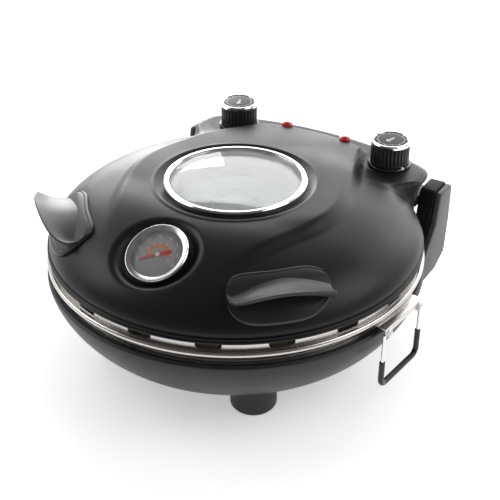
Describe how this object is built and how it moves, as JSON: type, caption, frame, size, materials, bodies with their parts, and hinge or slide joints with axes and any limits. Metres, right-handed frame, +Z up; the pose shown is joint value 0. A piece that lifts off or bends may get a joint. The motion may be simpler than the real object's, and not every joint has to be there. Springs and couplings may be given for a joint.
{
  "type": "electric pizza maker",
  "caption": "Round countertop pizza oven with a hinged domed lid, viewing window, dial thermometer, wing handles, thermostat knobs and a lift-out stone tray.",
  "frame": {"origin": "centre of the oven's footprint box, on the worktop under its feet", "axes": "+Z up, -Y towards the cook at the thermometer's side, +Y towards the knobs and the lid's hinge, +X to the cook's right"},
  "size_m": [0.3756, 0.3592, 0.1701],
  "materials": {
    "black_paint": "satin heat-proof enamel",
    "bright_steel": "bright drawn sheet",
    "dark_rod": "oxidised heating rod",
    "chrome": "polished chrome plate",
    "foot_plastic": "matt black",
    "black_plastic": "moulded satin black",
    "cover_plastic": "fine moulded grain, dark grey",
    "clear_glass": "clear toughened glass",
    "stone": "matt cordierite",
    "red_lens": "translucent red",
    "dial_paint": "dark grey dial",
    "needle_paint": "red"
  },
  "bodies": {
    "base": {"base_bowl": "black_paint", "base_reflector": "bright_steel", "lower_element": "dark_rod", "lower_clips": "bright_steel", "feet": "foot_plastic", "foot_screws": "bright_steel", "hinge_lug_left": "black_paint", "hinge_lug_right": "black_paint", "hinge_pins": "bright_steel"},
    "tray": {"stone_tray": "bright_steel", "pizza_stone": "stone", "tray_bracket_left": "bright_steel", "tray_bracket_right": "bright_steel", "tray_rivets": "chrome"},
    "left_bail": {"bail_left": "chrome", "bail_grip_left": "black_plastic"},
    "right_bail": {"bail_right": "chrome", "bail_grip_right": "black_plastic"},
    "lid": {"lid_shell": "black_paint", "lid_liner": "bright_steel", "upper_element": "dark_rod", "upper_clips": "bright_steel", "window_ring": "chrome", "window_glass": "clear_glass", "window_well": "bright_steel", "inner_glass": "clear_glass", "handle_left": "black_plastic", "handle_right": "black_plastic", "handle_screws": "bright_steel", "lamp_left": "red_lens", "lamp_right": "red_lens", "cable_gland": "black_plastic", "thermostat_left": "bright_steel", "thermostat_right": "bright_steel", "knob_seat_left": "black_plastic", "knob_seat_right": "black_plastic", "hinge_arm_left": "black_plastic", "hinge_arm_right": "black_plastic", "arm_cover_left": "cover_plastic", "arm_cover_right": "cover_plastic", "arm_screws": "dark_rod", "arm_bracket_left": "black_plastic", "arm_bracket_right": "black_plastic", "thermometer_can": "black_paint", "thermometer_bezel": "chrome", "thermometer_dial": "dial_paint", "thermometer_glass": "clear_glass", "thermometer_nut": "bright_steel"},
    "left_knob": {"knob_left": "black_plastic", "knob_ring_left": "chrome", "knob_face_left": "black_plastic"},
    "right_knob": {"knob_right": "black_plastic", "knob_ring_right": "chrome", "knob_face_right": "black_plastic"},
    "needle": {"thermometer_needle": "needle_paint"}
  },
  "joints": [
    {"name": "lid_hinge", "type": "hinge", "parent": "base", "child": "lid", "pos_m": [0, 0.1434, 0.0565], "axis": [-1, 0, 0], "range_deg": [0, 95]},
    {"name": "tray_turn", "type": "hinge", "parent": "base", "child": "tray", "pos_m": [0, -0.0026, 0.0845], "axis": [0, 0, 1], "range_deg": [-20, 30]},
    {"name": "right_bail_swing", "type": "hinge", "parent": "tray", "child": "right_bail", "pos_m": [0.181, -0.02162, 0.09], "axis": [-0.1045, -0.9945, 0], "range_deg": [0, 100]},
    {"name": "left_bail_swing", "type": "hinge", "parent": "tray", "child": "left_bail", "pos_m": [-0.181, 0.01642, 0.09], "axis": [0.1045, 0.9945, 0], "range_deg": [0, 100]},
    {"name": "left_knob_turn", "type": "hinge", "parent": "lid", "child": "left_knob", "pos_m": [-0.0874, 0.1414, 0.1475], "axis": [0, 0, 1], "range_deg": [-270, 0]},
    {"name": "right_knob_turn", "type": "hinge", "parent": "lid", "child": "right_knob", "pos_m": [0.0874, 0.1414, 0.1475], "axis": [0, 0, 1], "range_deg": [-270, 0]},
    {"name": "needle_turn", "type": "hinge", "parent": "lid", "child": "needle", "pos_m": [0, -0.1253, 0.15209], "axis": [0, -0.4939, 0.8695], "range_deg": [-248, 0]}
  ]
}
